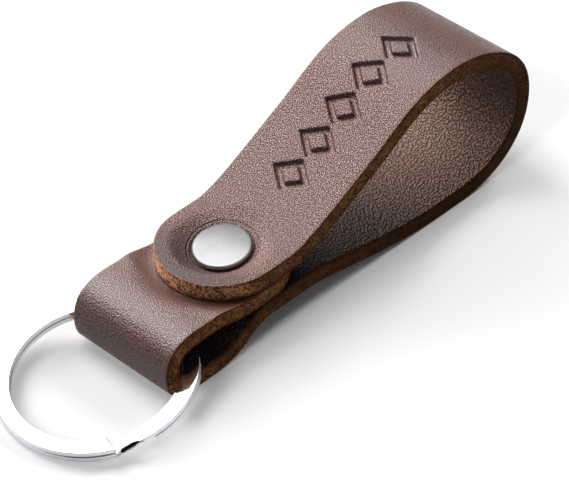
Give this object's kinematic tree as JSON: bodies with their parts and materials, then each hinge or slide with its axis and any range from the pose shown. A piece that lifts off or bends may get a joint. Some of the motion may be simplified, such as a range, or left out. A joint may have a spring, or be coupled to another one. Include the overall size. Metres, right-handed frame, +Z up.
{
  "type": "leather keyring",
  "caption": "Folded leather strap keyring with a hand loop, a clamping rivet and a split ring that swings in the small loop.",
  "frame": {"origin": "middle of the footprint, on the surface that the keyring lies on", "axes": "+X along the strap, away from the split ring; +Y across the strap; +Z up, along the rivet towards its cap"},
  "size_m": [0.1012, 0.031, 0.0279],
  "materials": {
    "brown_leather": "fine pebbled grain outside, dark suede-like flesh side, tan to dark brown cut edges",
    "satin_nickel": "satin nickel plate",
    "polished_chrome": "polished chrome plate"
  },
  "bodies": {
    "strap": {"leather_strap": "brown_leather", "rivet_cap": "satin_nickel", "rivet_base": "satin_nickel"},
    "ring": {"split_ring": "polished_chrome"}
  },
  "joints": [
    {"name": "ring_swing", "type": "hinge", "parent": "strap", "child": "ring", "pos_m": [-0.02354, 0, 0.00511], "axis": [0, 1, 0], "range_deg": [-4, 28]}
  ]
}
